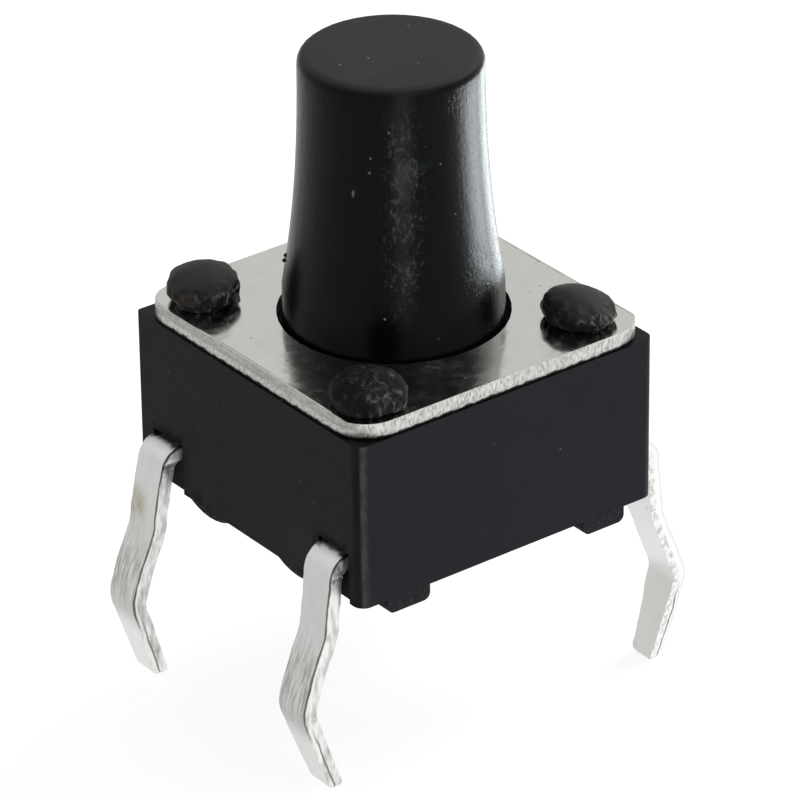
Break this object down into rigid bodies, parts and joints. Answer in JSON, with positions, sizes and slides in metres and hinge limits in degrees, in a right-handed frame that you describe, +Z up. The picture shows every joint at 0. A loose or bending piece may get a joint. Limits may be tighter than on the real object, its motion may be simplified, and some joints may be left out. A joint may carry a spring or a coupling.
{
  "type": "tactile push button switch",
  "caption": "Square through-hole tactile switch: black moulded housing, metal cover plate held by melted studs, tall flared round button that is pressed, kinked tinned leads.",
  "frame": {"origin": "middle of the lead pattern on the circuit board's top surface, which the housing's feet stand on", "axes": "+Z up along the button's stroke, X across the housing between the two sides where the leads come out, Y along those sides"},
  "size_m": [0.008, 0.006, 0.0113],
  "materials": {
    "housing_plastic": "satin black moulded heat-resistant plastic",
    "button_plastic": "matt black moulded plastic, slightly glossier down its side",
    "cover_steel": "satin stamped stainless steel with sheared edges",
    "dome_steel": "bright sprung stainless steel",
    "film": "thin amber film",
    "tinned_brass": "brass strip plated bright tin silver"
  },
  "bodies": {
    "housing": {"base": "housing_plastic", "cover": "cover_steel", "insulating_film": "film", "contact_dome": "dome_steel", "centre_terminal": "tinned_brass", "rim_terminal": "tinned_brass"},
    "button": {"plunger": "button_plastic"}
  },
  "joints": [
    {"name": "button_press", "type": "slide", "parent": "housing", "child": "button", "axis": [0, 0, -1], "range_m": [0, 0.00025], "stiffness_N_per_m": 6400, "deforming": ["contact_dome", "insulating_film"]}
  ]
}
